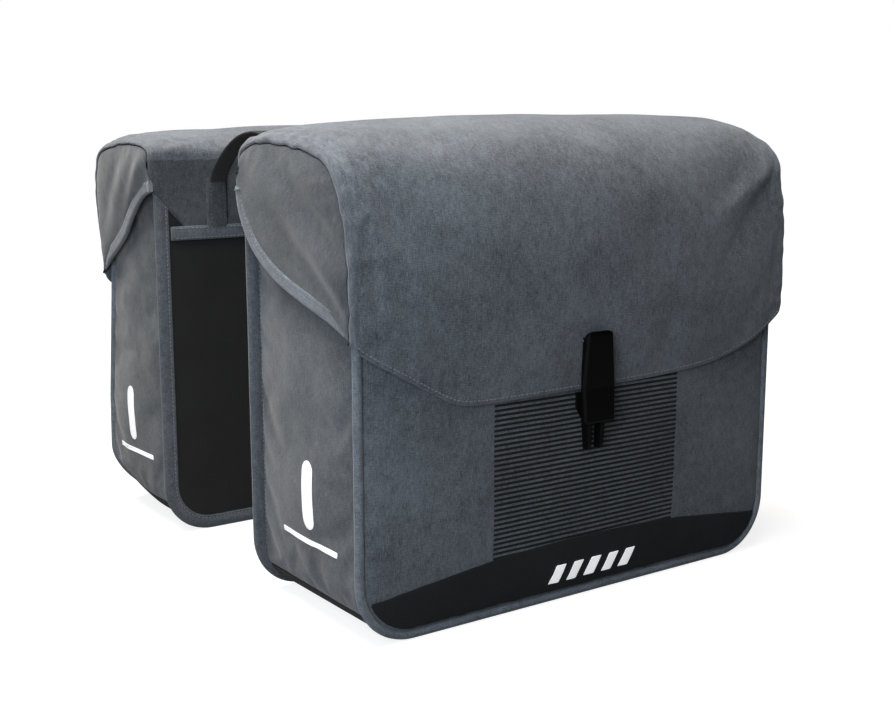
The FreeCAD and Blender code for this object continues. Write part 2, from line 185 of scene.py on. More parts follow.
def build(name, points, faces, material, uv=None, smooth=True):
    """A mesh object from points in metres, with an optional (u, v) in metres for each point."""
    mesh = bpy.data.meshes.new(name)
    mesh.from_pydata(np.asarray(points).reshape(-1, 3).tolist(), [], [list(map(int, f)) for f in faces])
    mesh.validate()
    if uv is not None:
        layer = mesh.uv_layers.new(name="UVMap")
        index = np.zeros(len(mesh.loops), int)
        mesh.loops.foreach_get("vertex_index", index)
        layer.data.foreach_set("uv", np.asarray(uv, float).reshape(-1, 2)[index].ravel())
    mesh.polygons.foreach_set("use_smooth", [smooth] * len(mesh.polygons))
    piece = bpy.data.objects.new(name, mesh)
    scene.collection.objects.link(piece)
    for m in material if isinstance(material, (list, tuple)) else (material,):
        mesh.materials.append(m)
    return piece


def grid_faces(rows, cols, flip, wrap=False):
    """Quads over a grid of points. wrap joins the last column to the first."""
    across = np.arange(cols if wrap else cols - 1)
    a = np.arange(rows - 1)[:, None] * cols + across
    b = np.arange(rows - 1)[:, None] * cols + (across + 1) % cols
    quads = np.stack([a, b, b + cols, a + cols], -1).reshape(-1, 4)
    return quads[:, ::-1] if flip else quads


def arc_uv(grid):
    """(u, v) in metres along the columns and rows of a grid in millimetres."""
    u = np.cumsum(np.linalg.norm(np.diff(grid, axis=1, prepend=grid[:, :1]), axis=-1), axis=1)
    v = np.cumsum(np.linalg.norm(np.diff(grid, axis=0, prepend=grid[:1]), axis=-1), axis=0)
    u = u - u[:, -1:] / 2
    return np.stack([u, v], -1) * MM


def sheet(name, grid, side, material, flip=False, turned=False):
    """A sheet over a grid of millimetre points. It faces outward when rows run up and columns along +X."""
    rows, cols = grid.shape[:2]
    faces = grid_faces(rows, cols, flip != (side > 0))
    uv = arc_uv(grid)
    return build(name, place(grid, side), faces, material, uv[..., ::-1] if turned else uv)


def coords(piece):
    co = np.zeros(len(piece.data.vertices) * 3)
    piece.data.vertices.foreach_get("co", co)
    return co.reshape(-1, 3)


def final(piece):
    """Applies the piece's modifiers."""
    graph = bpy.context.evaluated_depsgraph_get()
    mesh = bpy.data.meshes.new_from_object(piece.evaluated_get(graph))
    piece.modifiers.clear()
    piece.data = mesh
    mesh.name = piece.name
    return piece


def thicken(piece, thickness, smoothing=1, lining=False):
    """Gives a sheet its thickness, inward from its outer face, and smooths it."""
    solid = piece.modifiers.new("thickness", "SOLIDIFY")
    solid.thickness = thickness * MM
    solid.offset = -1
    if lining:
        solid.material_offset = 1
    if smoothing:
        piece.modifiers.new("smooth", "SUBSURF").levels = smoothing
        piece.modifiers["smooth"].render_levels = smoothing
    return final(piece)


def settle(piece, held, growth, pressure, cap):
    """Settles a sheet as cloth. It grows a little, is fixed where held, and no point moves past cap."""
    rest = coords(piece)
    group = piece.vertex_groups.new(name="held")
    group.add(np.flatnonzero(np.asarray(held).ravel()).tolist(), 1.0, "REPLACE")
    cloth = piece.modifiers.new("settle", "CLOTH")
    cloth.settings.quality = 6
    cloth.settings.mass = 0.2
    cloth.settings.air_damping = 5
    cloth.settings.tension_stiffness = 25
    cloth.settings.compression_stiffness = 25
    cloth.settings.shear_stiffness = 12
    cloth.settings.bending_stiffness = 2
    cloth.settings.vertex_group_mass = "held"
    cloth.settings.shrink_min = -growth
    cloth.settings.use_pressure = True
    cloth.settings.uniform_pressure_force = pressure
    cloth.settings.effector_weights.gravity = 0
    cloth.collision_settings.use_collision = False
    cloth.point_cache.frame_start = 1
    cloth.point_cache.frame_end = SETTLE_FRAMES
    for number in range(1, SETTLE_FRAMES + 1):
        scene.frame_set(number)
    graph = bpy.context.evaluated_depsgraph_get()
    shape = piece.evaluated_get(graph).to_mesh()
    moved = np.zeros(len(rest) * 3)
    shape.vertices.foreach_get("co", moved)
    piece.evaluated_get(graph).to_mesh_clear()
    shift = moved.reshape(-1, 3) - rest
    length = np.linalg.norm(shift, axis=1, keepdims=True)
    limit = cap * MM
    shift = shift / np.maximum(length, 1e-9) * limit * np.tanh(length / limit)
    piece.modifiers.clear()
    piece.vertex_groups.clear()
    scene.frame_set(1)
    piece.data.vertices.foreach_set("co", (rest + shift).ravel())
    piece.data.update()


def attach(piece, body, slot, *replaced):
    """Makes a piece ride on a body in place of CAD nodes. The slot argument is not used."""
    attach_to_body(piece, body)
    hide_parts(*replaced)


def surface(piece):
    """A function that gives the point and normal on the piece nearest to a point in metres."""
    mesh = piece.data
    tree = BVHTree.FromPolygons([v.co for v in mesh.vertices], [p.vertices for p in mesh.polygons])
    def nearest(point):
        spot, normal, _, _ = tree.find_nearest(Vector(point))
        return spot, normal
    return nearest


def lay_on(points, nearest, lift):
    """Points in metres moved onto a surface, and lift millimetres above it."""
    flat = np.asarray(points).reshape(-1, 3)
    laid = []
    for point in flat:
        spot, normal = nearest(point)
        laid.append(spot + normal * lift * MM)
    return np.array(laid).reshape(np.shape(points))


def along_axes(path, guide):
    """Unit directions along a path, across it, and off it towards guide, for each point."""
    travel = np.gradient(path, axis=0)
    travel /= np.linalg.norm(travel, axis=1, keepdims=True)
    guide = np.broadcast_to(guide, path.shape)
    off = guide - (guide * travel).sum(1, keepdims=True) * travel
    off /= np.linalg.norm(off, axis=1, keepdims=True)
    return travel, np.cross(travel, off), off


def sweep(name, path, guide, profile, material, scale=1.0):
    """A closed profile of (across, off) millimetres carried along a path in metres, with its ends capped."""
    _, across, off = along_axes(path, guide)
    profile = np.asarray(profile, float)
    shift = across[:, None] * profile[None, :, :1] + off[:, None] * profile[None, :, 1:]
    points = path[:, None] + shift * np.broadcast_to(scale, len(path))[:, None, None] * MM
    rows, cols = points.shape[:2]
    faces = grid_faces(rows, cols, False, wrap=True).tolist()
    faces += [list(range(cols))[::-1], list(range((rows - 1) * cols, rows * cols))]
    around = np.r_[0, np.cumsum(np.linalg.norm(np.diff(profile, axis=0), axis=1))] * MM
    length = np.r_[0, np.cumsum(np.linalg.norm(np.diff(path, axis=0), axis=1))]
    uv = np.stack(np.broadcast_arrays(around[None, :], length[:, None]), -1)
    piece = build(name, points, faces, material, uv)
    fix_normals(piece)
    for face in piece.data.polygons:
        face.use_smooth = len(face.vertices) == 4
    return piece


def fix_normals(piece):
    """Turns every face outward."""
    mesh = bmesh.new()
    mesh.from_mesh(piece.data)
    bmesh.ops.recalc_face_normals(mesh, faces=mesh.faces)
    mesh.to_mesh(piece.data)
    mesh.free()


def stitches(name, path, guide, material, pitch=3.4, length=2.5, radius=0.36):
    """A row of short thread stitches along a path in metres, lying on a surface whose normal is guide."""
    travelled = np.r_[0, np.cumsum(np.linalg.norm(np.diff(path, axis=0), axis=1))] / MM
    count = max(int(travelled[-1] / pitch), 1)
    at = (np.arange(count) + 0.5) * travelled[-1] / count
    guide = np.broadcast_to(guide, path.shape)
    travel, across, off = along_axes(path, guide)
    def pick(values):
        return np.stack([np.interp(at, travelled, values[:, k]) for k in range(3)], -1)
    centre, travel, across, off = pick(path), pick(travel), pick(across), pick(off)
    rings = 5
    turn = np.arange(6) * math.pi / 3
    share = np.linspace(-1, 1, rings)
    girth = radius * np.sqrt(np.clip(1.04 - share ** 2, 0.02, 1))
    rise = radius * 0.7 * (1 - 1.6 * share ** 2)
    points, faces = [], []
    for i in range(count):
        base = len(points)
        for k in range(rings):
            spine = centre[i] + travel[i] * share[k] * length / 2 * MM + off[i] * rise[k] * MM
            for a in turn:
                points.append(spine + (across[i] * math.cos(a) + off[i] * math.sin(a)) * girth[k] * MM)
        faces += (grid_faces(rings, 6, False, wrap=True) + base).tolist()
        faces += [[base + k for k in range(5, -1, -1)], [base + (rings - 1) * 6 + k for k in range(6)]]
    piece = build(name, points, faces, material)
    fix_normals(piece)
    return piece


# Materials


class Graph:
    """A material's node tree."""

    def __init__(self, name, **values):
        self.material = bpy.data.materials.new(name)
        self.material.use_nodes = True
        self.tree = self.material.node_tree
        self.shader = self.tree.nodes["Principled BSDF"]
        for key, value in values.items():
            self.set(self.shader.inputs[key.replace("_", " ")], value)

    def set(self, socket, value):
        if isinstance(value, bpy.types.NodeSocket):
            self.tree.links.new(value, socket)
        else:
            socket.default_value = value

    def add(self, kind, inputs, output=0, **settings):
        node = self.tree.nodes.new("ShaderNode" + kind)
        for key, value in settings.items():
            setattr(node, key, value)
        for key, value in inputs.items():
            self.set(node.inputs[key], value)
        return node.outputs[output]

    def place(self, space):
        """Texture coordinates in metres: the sheet's own (u, v) or the object's frame."""
        if space == "UV":
            return self.add("UVMap", {}, uv_map="UVMap")
        return self.add("TexCoord", {}, output="Object")

    def scaled(self, where, scale):
        return self.add("VectorMath", {0: where, 1: scale}, operation="MULTIPLY")

    def noise(self, where, scale, detail=2.0, rough=0.5):
        vector = self.scaled(where, scale)
        return self.add("TexNoise", {"Vector": vector, "Scale": 1.0, "Detail": detail, "Roughness": rough})

    def math(self, operation, a, b=0.0, c=0.0):
        return self.add("Math", {0: a, 1: b, 2: c}, operation=operation)

    def ridge(self, where, axis, pitch):
        """A wave from 0 to 1 along an axis, with its pitch in metres."""
        split = self.add("SeparateXYZ", {0: where}, output=axis)
        wave = self.math("SINE", self.math("MULTIPLY", split, 2 * math.pi / pitch))
        return self.math("MULTIPLY_ADD", wave, 0.5, 0.5)

    def ramp(self, value, low, high, dark, light):
        share = self.add("MapRange", {"Value": value, "From Min": low, "From Max": high})
        return self.mix(share, dark, light)

    def mix(self, share, a, b):
        node = self.tree.nodes.new("ShaderNodeMix")
        node.data_type = "RGBA"
        self.set(node.inputs["Factor"], share)
        self.set(node.inputs[6], a)
        self.set(node.inputs[7], b)
        return node.outputs[2]

    def finish(self, color, height, depth, strength=1.0):
        self.set(self.shader.inputs["Base Color"], color)
        bump = self.add("Bump", {"Height": height, "Distance": depth, "Strength": strength})
        self.set(self.shader.inputs["Normal"], bump)
        return self.material


def tone(value, tint=(1.0, 1.0, 1.0)):
    return tuple(value * t for t in tint) + (1.0,)


def canvas(name, dark, light, space="UV", slub=(1250.0, 210.0, 210.0)):
    """Melange canvas: pale and dark yarns mixed, with thicker slub yarns that run upright."""
    g = Graph(name, Roughness=0.88, Sheen_Weight=0.25, Sheen_Roughness=0.45, Specular_IOR_Level=0.25)
    where = g.place(space)
    yarn = g.noise(where, slub, 2.0, 0.6)
    cross = g.noise(where, (260.0, 1700.0, 1700.0), 1.0)
    speck = g.noise(where, (1900.0,) * 3, 1.0)
    cloud = g.noise(where, (14.0,) * 3, 3.0)
    streak = g.noise(where, (330.0, 60.0, 60.0), 2.0)
    mottle = g.noise(where, (110.0,) * 3, 2.0)
    mixed = g.math("MULTIPLY_ADD", yarn, 0.22, g.math("MULTIPLY", speck, 0.26))
    for layer, weight in ((cross, 0.18), (streak, 0.07), (mottle, 0.10), (cloud, 0.15)):
        mixed = g.math("MULTIPLY_ADD", layer, weight, mixed)
    weave = g.math("MULTIPLY", g.ridge(where, 0, 0.0011), g.ridge(where, 1, 0.0011))
    height = g.math("MULTIPLY_ADD", weave, 0.55, g.math("MULTIPLY", yarn, 0.45))
    return g.finish(g.ramp(mixed, 0.36, 0.64, dark, light), height, 0.0004, 0.5)


def plain_weave(name, dark, light, pitch, rough=0.8, space="UV", sheen=0.03, depth=0.0003):
    """A plain woven tape or lining with a visible grid of yarns."""
    g = Graph(name, Roughness=rough, Sheen_Weight=sheen, Specular_IOR_Level=0.12)
    where = g.place(space)
    weave = g.math("MULTIPLY", g.ridge(where, 0, pitch), g.ridge(where, 1, pitch))
    grain = g.noise(where, (900.0,) * 3, 2.0)
    cloud = g.noise(where, (25.0,) * 3, 3.0)
    mixed = g.math("MULTIPLY_ADD", weave, 0.35, g.math("MULTIPLY", grain, 0.4))
    mixed = g.math("MULTIPLY_ADD", cloud, 0.25, mixed)
    return g.finish(g.ramp(mixed, 0.2, 0.75, dark, light), weave, depth, 0.6)


def moulded_plastic(name, level):
    """Black moulded plastic with a fine grain, smoother along its edges, where a painted highlight also
    lightens its colour.
    """
    g = Graph(name, Specular_IOR_Level=0.05, Coat_Weight=0.06, Coat_Roughness=0.3)
    where = g.place("Object")
    grain = g.noise(where, (2200.0,) * 3, 2.0)
    cloud = g.noise(where, (60.0,) * 3, 3.0)
    edge = g.add("NewGeometry", {}, output="Pointiness")
    edge_gloss_and_painted_highlight = g.add("MapRange", {"Value": edge, "From Min": 0.5, "From Max": 0.62})
    rough = g.math("MULTIPLY_ADD", cloud, 0.2, 0.27)
    g.set(g.shader.inputs["Roughness"], g.math("SUBTRACT", rough, g.math("MULTIPLY", edge_gloss_and_painted_highlight, 0.12)))
    # Painted highlight: sharp edges are lightened to three times the base colour.
    color = g.mix(edge_gloss_and_painted_highlight, tone(level), tone(level * 3))
    return g.finish(color, grain, 0.00012, 0.35)


def brushed_steel(name):
    g = Graph(name, Metallic=1.0)
    where = g.place("Object")
    lines = g.noise(where, (60.0, 1800.0, 1800.0), 2.0)
    g.set(g.shader.inputs["Roughness"], g.math("MULTIPLY_ADD", lines, 0.25, 0.25))
    return g.finish(g.ramp(lines, 0.3, 0.7, tone(0.35), tone(0.5)), lines, 0.00005, 0.3)


def film(name):
    """Pale reflective film with a fine honeycomb print, and a painted glow: it emits a faint light of its
    own.
    """
    g = Graph(name, Roughness=0.45, Specular_IOR_Level=0.6, Coat_Weight=0.3)
    where = g.place("Object")
    vector = g.scaled(where, (900.0,) * 3)
    cells = g.add("TexVoronoi", {"Vector": vector, "Scale": 1.0}, feature="DISTANCE_TO_EDGE")
    glow = g.ramp(cells, 0.0, 0.12, tone(0.62, (0.98, 1.0, 1.02)), tone(0.86, (0.98, 1.0, 1.02)))
    # Painted glow: the film emits light, though it is no lamp.
    g.set(g.shader.inputs["Emission Color"], tone(0.9))
    g.set(g.shader.inputs["Emission Strength"], 0.45)
    return g.finish(glow, cells, 0.00008, 0.3)


def thread(name, level, tint=(1.0, 1.0, 1.0)):
    """Twisted sewing thread."""
    g = Graph(name, Roughness=0.6, Sheen_Weight=0.3)
    where = g.place("Object")
    twist = g.ridge(where, 0, 0.0006)
    grain = g.noise(where, (1500.0,) * 3, 1.0)
    mixed = g.math("MULTIPLY_ADD", twist, 0.4, g.math("MULTIPLY", grain, 0.6))
    shade = g.ramp(mixed, 0.2, 0.8, tone(level * 0.7, tint), tone(level * 1.25, tint))
    return g.finish(shade, twist, 0.0001, 0.4)


BLUE = (0.86, 0.99, 1.14)
COOL = (0.87, 1.0, 1.13)
lid_canvas = canvas("lid_canvas", tone(0.010, BLUE), tone(0.20, BLUE))
front_canvas = canvas("front_canvas", tone(0.010, BLUE), tone(0.19, BLUE))
side_canvas = canvas("side_canvas", tone(0.013, COOL), tone(0.142, COOL))
wing_canvas = canvas("wing_canvas", tone(0.011, COOL), tone(0.118, COOL))
lining = plain_weave("lining", tone(0.012), tone(0.035), 0.0009, 0.7)
black_fabric = plain_weave("black_fabric", tone(0.010), tone(0.026), 0.0012, 0.72)
band_fabric = plain_weave("band_fabric", tone(0.009, COOL), tone(0.024, COOL), 0.0010, 0.62)
tape = canvas("binding_tape", tone(0.019, BLUE), tone(0.165, BLUE))
edge_tape = canvas("edge_tape", tone(0.028, BLUE), tone(0.25, BLUE))
# The rear flap's canvas is a darker copy of the lid canvas: painted shade for the gap between the two bags.
# The strap covers use it too.
flap_canvas_painted_shade = canvas("flap_canvas_painted_shade", tone(0.0063, BLUE), tone(0.110, BLUE))
webbing = plain_weave("webbing", tone(0.014), tone(0.055), 0.0016, 0.75, depth=0.0006)
print_ink = plain_weave("stripe_ink", tone(0.006), tone(0.016), 0.0009, 0.6)
plastic = moulded_plastic("buckle_plastic", 0.0012)
board_plastic = moulded_plastic("board_plastic", 0.03)
steel = brushed_steel("steel")
reflective = film("reflective_film")
pale_thread = thread("pale_thread", 0.16, COOL)
dark_thread = thread("dark_thread", 0.05, COOL)


# Lid


def lid_controls(x):
    """Points (depth, z) of the lid's section at x, from the flap's foot over the crown to the front edge."""
    foot = [(-1, TAPE_LOW[2] + 2), (-1, 300), (-1.4, FOLD)]
    middle = foot + [(0, 333), (16, 345), (42, 350.5), (76, 351), (104, 347.5), (122, 339), (135, 326),
                     (144, 309), (149.5, 289), (153, 262), (155, 225)]
    aft = foot + [(-1.5, 328), (11, 336), (38, 339.5), (68, 338.5), (98, 335), (120, 329.5), (134, 320),
                  (144, 304), (150, 284), (153.5, 262), (155, 235)]
    fore = foot + [(-1, 331), (11, 341), (38, 345.5), (72, 346), (100, 342.5), (121, 337), (137, 328.5),
                   (147, 316), (151, 299), (153.5, 272), (155.5, 235)]
    reach = min(abs(x) / LID_END, 1)
    middle, aft, fore = np.array(middle), np.array(aft), np.array(fore)
    if x < 0:
        share = 0.8 * reach ** 14
        section = middle * (1 - share - 0.2 * reach ** 2) + aft * (share + 0.2 * reach ** 2)
        section[4:9, 1] -= 3.2 * math.sin(min(reach / 0.85, 1) * math.pi / 2) ** 2 * (1 - reach ** 14)
    else:
        share = reach ** 16
        section = middle * (1 - share) + fore * share
    return np.vstack([section, (LID_FACE, lid_edge(x))])


def lid_edge(x):
    """The height of the lid's front edge at x."""
    if x < 0:
        corner = [(-1, 159), (70, 158.4), (100, 158.2), (118, 160), (132, 167), (151, 178), (171, 189),
                  (192, 201), (200, 209)]
    else:
        corner = [(-1, 159), (48, 159.5), (85, 160.8), (118, 164), (142, 169), (165, 177), (185, 189),
                  (197, 199), (200, 204)]
    path = rounded(corner, 60, 3)
    return float(np.interp(abs(x), path[:, 0], path[:, 1]))


def flap_half(z):
    """Half the rear flap's width at a height."""
    return np.interp(z, [252, 262, 290, 300, FOLD], [171, 171, 197, 199, LID_END])


def lid_stations():
    """Positions across the lid as (x, turn). At both ends the sheet turns inward to its seam."""
    spread = math.pi / 2 * 0.94
    flat = np.sin(np.linspace(-1, 1, 109) * math.pi / 2 * 0.94) / math.sin(spread) * (LID_END - LID_ROLL)
    turns = np.radians([25, 50, 75, 100, 125])
    ends = [(LID_END - LID_ROLL + LID_ROLL * math.sin(a), a) for a in turns]
    return [(-x, a) for x, a in reversed(ends)] + [(x, 0.0) for x in flat] + ends


def lid_grid(seed, side):
    columns = []
    for x, turn in lid_stations():
        section = rounded(lid_controls(x if turn == 0 else math.copysign(LID_END, x)), 126)
        travel = np.gradient(section, axis=0)
        travel /= np.linalg.norm(travel, axis=1, keepdims=True)
        inward = np.stack([travel[:, 1], -travel[:, 0]], -1)
        section = section + inward * LID_ROLL * (1 - math.cos(turn))
        columns.append(np.column_stack([np.full(len(section), x), section]))
    grid = np.stack(columns, 1)
    if side > 0:
        grid[..., 2] = np.where(grid[..., 2] > FOLD, FOLD + (grid[..., 2] - FOLD) * 0.73, grid[..., 2])
        corner = np.clip((-grid[..., 0] - 140) / 60, 0, 1) ** 2 * np.clip((255 - grid[..., 2]) / 45, 0, 1)
        grid[..., 2] += 6 * corner * (grid[..., 1] > 100)
    rear = (grid[..., 1] < 6) & (grid[..., 2] < FOLD)
    grid[..., 0] *= np.where(rear, flap_half(grid[..., 2]) / LID_END, 1)
    x, depth, z = grid[..., 0], grid[..., 1], grid[..., 2]
    near_seam = np.exp(-(LID_END - np.abs(x)) / 9.0)
    soft = wobble(grid, 46, seed) * 0.9 + wobble(grid, 9, seed + 3) * 1.8 * near_seam
    for height, size in ((309, 2.6), (293, 2.4), (272, 1.4), (243, 0.9)):
        soft -= size * np.exp(-((z - height) / 3.5) ** 2) * np.exp(-(LID_END + x) / 6.0) * (depth > 100)
    crease = (x - 165) * -0.45 + (z - 300) * 0.89
    soft += 3.0 * np.exp(-(crease / 8) ** 2) * np.exp(-((x - 172) / 32) ** 2) * (depth > 100)
    soft -= 1.6 * np.exp(-((crease + 15) / 10) ** 2) * np.exp(-((x - 168) / 32) ** 2) * (depth > 100)
    crease = (x + 120) * -0.35 + (z - 250) * 0.93
    soft += 0.8 * np.exp(-(crease / 14) ** 2) * np.exp(-((x + 130) / 50) ** 2) * (depth > 60)
    front = np.clip((depth - 120) / 30, 0, 1)
    grid[..., 1] += soft * front
    grid[..., 2] += soft * (1 - front) * np.clip((z - FOLD - 2) / 12, 0, 1)
    return grid


def make_lid(name, side, seed):
    grid = lid_grid(seed, side)
    piece = sheet(f"{name}_lid_sheet", grid, side, [lid_canvas, lining, flap_canvas_painted_shade], flip=True)
    inside = np.abs(grid[..., 0]) < LID_END - 5
    free = inside & ((grid[..., 2] > FOLD + 6) | (grid[..., 1] > 60))
    free[-2:] = False
    settle(piece, ~free, 0.004, 1.2, 3.5)
    shape = unplace(coords(piece), side).reshape(grid.shape)
    top = surface(piece)
    front_row = shape[-1].copy()
    front_row[:, 2] += 3.4
    keep = np.abs(front_row[:, 0]) < LID_END - 3
    path = resample(place(front_row[keep], side), 200)
    outward = (0.0, float(side), 0.0)
    row = stitches(f"{name}_lid_hem_stitches", lay_on(path, top, 0.05), outward, pale_thread)
    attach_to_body(row, f"{name}_lid")
    thicken(piece, 1.9, 1, lining=True)
    # Faces by the front hem take the lid canvas; the rear flap's outer faces take the darker flap canvas,
    # which is painted shade.
    for face in piece.data.polygons:
        x, depth, z = unplace([face.center], side)[0]
        if depth > 100 and z < np.interp(x, shape[-1, :, 0], shape[-1, :, 2]) + HEM:
            face.material_index = 0
        elif depth < 6 and z < FOLD and face.material_index == 0:
            face.material_index = 2
    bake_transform(piece)
    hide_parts(f"{name}_lid_panel", f"{name}_lid_rear_flap")
    return shape


def wing_low(count, corner, tucked):
    """A wing's lower edge as (depth, z), rear corner first. A tucked wing is folded in."""
    if tucked:
        corners = [(-2, 292), (8, 290), (20, 286), (36, 277), (55, 264), (71, 252), (97, 240), (128, 228)]
    else:
        corners = [(-3.0, 303), (-1, 289), (6, 275), (22, 257), (49, 242), (75, 233.5), (102, 226.5),
                   (132, 219)]
    return rounded(corners + [(154, corner + 0.5)], count, 3)


def wing_folds(depth, z, tucked):
    """How far the wing's soft folds stand out. They run down towards its front corner."""
    if tucked:
        across = (depth - 50) * 0.74 + (z - 278) * 0.67
        folds = ((0, 9, 2.2), (24, 11, 1.2), (-19, 8, -1.1), (44, 9, -0.8))
        along = 1.0
    else:
        across = (depth - 115) * 0.53 + (z - 264) * 0.85
        folds = ((0, 8, 3.3), (-17, 7, -1.9), (17, 7, -1.7), (34, 9, 1.6), (-34, 10, 1.2))
        along = np.exp(-((depth - 112) / 62) ** 2)
    return sum(size * np.exp(-((across - at) / width) ** 2) for at, width, size in folds) * along


def make_wing(name, side, end, lid_shape, seed):
    """One end of the lid. end is +1 for the fore wing and -1 for the aft one."""
    word = "fore" if end > 0 else "aft"
    edge = lid_shape[:, -1 if end > 0 else 0]
    start = int(np.argmax(edge[:, 2] > FOLD - 3))
    top = resample(edge[start:, 1:], WING_COLUMNS)
    tucked = side > 0 and end < 0
    low = wing_low(WING_COLUMNS, top[-1, 1], tucked)
    low[-1] = top[-1]
    share = np.linspace(0, 1, 34)[:, None, None] ** 0.9
    flat = top[None] * (1 - share) + low[None] * share
    depth, z = flat[..., 0], flat[..., 1]
    free = np.clip(share[..., 0] / 0.86, 0, 1)
    middle = np.sin(free * math.pi) ** 0.75
    left_over = WING_COLUMNS - 1 - np.arange(WING_COLUMNS)
    seam = end * edge[start:, 0].mean()
    x = seam + (LID_END - seam) * np.clip(free * 5, 0, 1) * np.clip(left_over / 6, 0, 1)
    middle = middle * np.clip(left_over / 10, 0, 1)
    x = x + middle * 2.0 + wing_folds(depth, z, tucked) * middle
    x += wobble(np.stack([x, depth, z], -1), 30, seed) * 1.1 * middle
    puckers = wobble(np.stack([x, depth, z], -1), 8, seed + 5) * 0.9
    x += puckers * np.exp(-share[..., 0] * 7) * np.clip(free * 12, 0, 1)
    grid = np.stack([end * x, depth, z], -1)
    piece = sheet(f"{name}_{word}_wing_sheet", grid, side, [wing_canvas, lining], flip=end < 0)
    rows = np.arange(grid.shape[0])[:, None] * np.ones(grid.shape[1])
    settle(piece, (rows < 1) | (rows > grid.shape[0] * 0.84), 0.012, 0.6, 2.5)
    shape = unplace(coords(piece), side).reshape(grid.shape)
    mesh = bmesh.new()
    mesh.from_mesh(piece.data)
    bmesh.ops.remove_doubles(mesh, verts=mesh.verts, dist=0.0004)
    mesh.to_mesh(piece.data)
    mesh.free()
    thicken(piece, 1.6, 1, lining=True)
    attach(piece, f"{name}_lid", "side_canvas", f"{name}_{word}_lid_wing")
    edge_path = shape[-1]
    edge_path = resample(edge_path[:-1], 80)[:-3]
    edge_path[:, 0] = end * (LID_END - 0.6)
    outward = np.array([float(end), 0, 0])
    half, thick = 9.6, 1.5
    profile = [(0, 1.0), (0.4, thick), (2, thick + 0.15), (6.0, thick), (7.6, thick - 0.35),
               (9.2, thick - 0.1), (half, 0.6), (half, -0.9), (9.0, -1.7), (2, -1.8), (0.3, -1.4), (-0.3, 0)]
    path = place(edge_path, side)
    turn = -side * end
    flipped = [(a * turn, b) for a, b in profile]
    narrowed = np.clip((len(path) - np.arange(len(path))) / 9, 0.2, 1) ** 0.6
    binding = sweep(f"{name}_{word}_wing_binding", path, outward, flipped, edge_tape, narrowed)
    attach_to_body(binding, f"{name}_lid")
    if end > 0:
        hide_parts(f"{name}_wing_binding")
    _, across, off = along_axes(path, outward)
    line = path + across * turn * 7.7 * MM + off * (thick - 0.3) * MM
    row = stitches(f"{name}_{word}_wing_stitches", line[1:-9], outward, pale_thread)
    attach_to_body(row, f"{name}_lid")
    corner = path[1] + across[1] * turn * np.linspace(0.5, 7, 5)[:, None] * MM + off[1] * 1.2 * MM
    knot = stitches(f"{name}_{word}_wing_bartack", corner, outward, pale_thread, pitch=1.3, length=5.2,
                    radius=0.8)
    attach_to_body(knot, f"{name}_lid")


# Bag body


def gusset_grid():
    """The gusset as rows along its depth and columns around the bag, from one mouth edge to the other."""
    rows = []
    for depth in np.linspace(2.6, PIPING_DEPTH - 2.4, 36):
        share = (depth - 2.6) / (PIPING_DEPTH - 5)
        half = 186 + 5 * share
        radius = 29 + 9 * share
        path = tub_path(half, 3.6, radius, MOUTH_TOP, GUSSET_COLUMNS)
        rows.append(np.column_stack([path[:, 0], np.full(len(path), depth), path[:, 1]]))
    return np.stack(rows)


def make_gusset(name, side, seed):
    grid = gusset_grid()
    share = np.linspace(0, 1, grid.shape[0])[:, None]
    upright = np.clip((grid[..., 2] - 20) / 60, 0, 1)
    bow = np.sin(share * math.pi) * (1.6 + 1.4 * np.sin(np.clip(grid[..., 2] / MOUTH_TOP, 0, 1) * math.pi))
    soft = wobble(grid, 60, seed) * 1.9 + wobble(grid, 22, seed + 1) * 0.6
    grid[..., 0] += np.sign(grid[..., 0]) * (bow + soft * np.sin(share * math.pi)) * upright
    grid = lifted(leaned(grid), side)
    seam = int(np.argmin(np.abs(grid[0, :GUSSET_COLUMNS // 2, 2] - BOTTOM_SEAM)))
    last = grid.shape[1] - 1 - seam
    parts = [("aft_side", 0, seam, side_canvas, 0.010),
             ("fore_side", last, grid.shape[1] - 1, side_canvas, 0.010),
             ("bottom", seam, last, black_fabric, 0.0)]
    shapes = {}
    for word, first, end, material, growth in parts:
        part = grid[:, first:end + 1]
        piece = sheet(f"{name}_{word}_sheet", part, side, [material, lining], turned=True)
        if growth:
            held = np.zeros(part.shape[:2], bool)
            held[:1] = held[-1:] = True
            held[:, :1] = held[:, -1:] = True
            settle(piece, held, growth, 1.5, 3.0)
        shapes[word] = surface(piece)
        thicken(piece, 1.5, 1, lining=True)
        attach(piece, f"{name}_bag", "side_canvas" if growth else "black_fabric", f"{name}_{word}_panel")
    return shapes


def front_depth(x, z):
    """The depth of the front panel's face, which swells from its edges."""
    half, bottom, radius = FRONT_HALF, FRONT_BOTTOM, FRONT_RADIUS
    inner_x = np.maximum(np.abs(x) - (half - radius), 0)
    inner_z = np.maximum(bottom + radius - z, 0)
    low_corner = radius - np.hypot(inner_x, inner_z)
    edge = np.where((inner_x > 0) & (inner_z > 0), low_corner, np.minimum(half - np.abs(x), z - bottom))
    edge = np.clip(edge, 0, None)
    swell = 4.2 * (1 - np.exp(-edge / 42))
    return FRONT_FACE - 2.6 + 2.2 * (1 - np.exp(-edge / 2.6)) + swell


